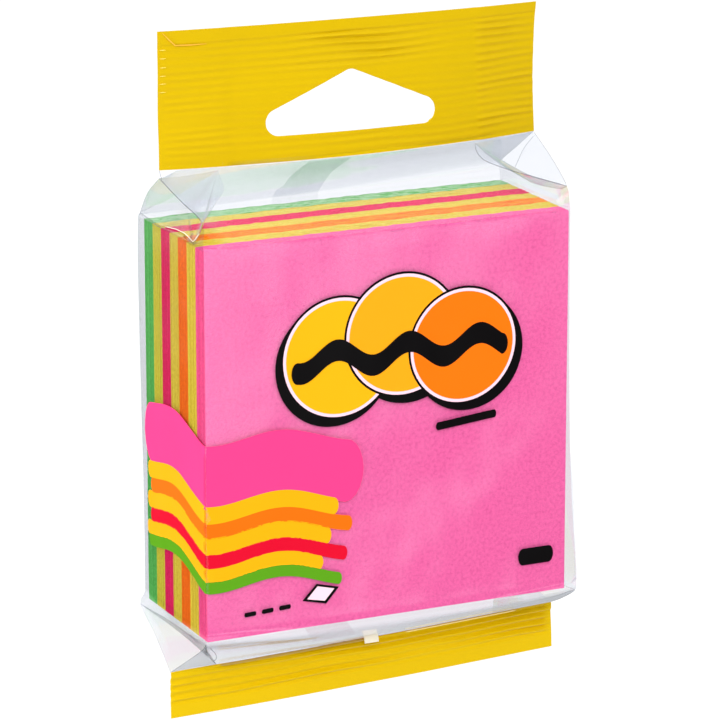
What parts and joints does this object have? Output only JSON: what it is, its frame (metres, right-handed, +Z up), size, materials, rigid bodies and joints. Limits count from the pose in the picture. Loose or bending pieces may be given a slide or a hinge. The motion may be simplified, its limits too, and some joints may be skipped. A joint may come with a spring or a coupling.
{
  "type": "sticky note pad",
  "caption": "Cube pad of square sticky notes in stacked bright colours, sealed in a clear film sleeve with crimped ends and a hang hole in its yellow header.",
  "frame": {"origin": "centre of the round at the top of the hang hole, half way through the film there, where a display peg sits", "axes": "+X to the right seen from the front, +Y from the front face to the back, +Z up as it hangs"},
  "size_m": [0.0796, 0.03, 0.1312],
  "materials": {
    "note_pink": "uncoated paper, fluorescent pink",
    "note_yellow": "uncoated paper, fluorescent yellow",
    "note_orange": "uncoated paper, fluorescent orange",
    "note_magenta": "uncoated paper, fluorescent magenta",
    "note_green": "uncoated paper, fluorescent green",
    "release_paper": "smooth coated release paper",
    "film": "clear glossy film, printed solid yellow at the crimped ends"
  },
  "bodies": {
    "root": {"notes_pink": "note_pink", "notes_yellow_front": "note_yellow", "notes_orange": "note_orange", "notes_yellow_middle": "note_yellow", "notes_magenta": "note_magenta", "notes_yellow_back": "note_yellow", "notes_green": "note_green", "backing_sheet": "release_paper", "film_wrap": "film"}
  },
  "joints": []
}
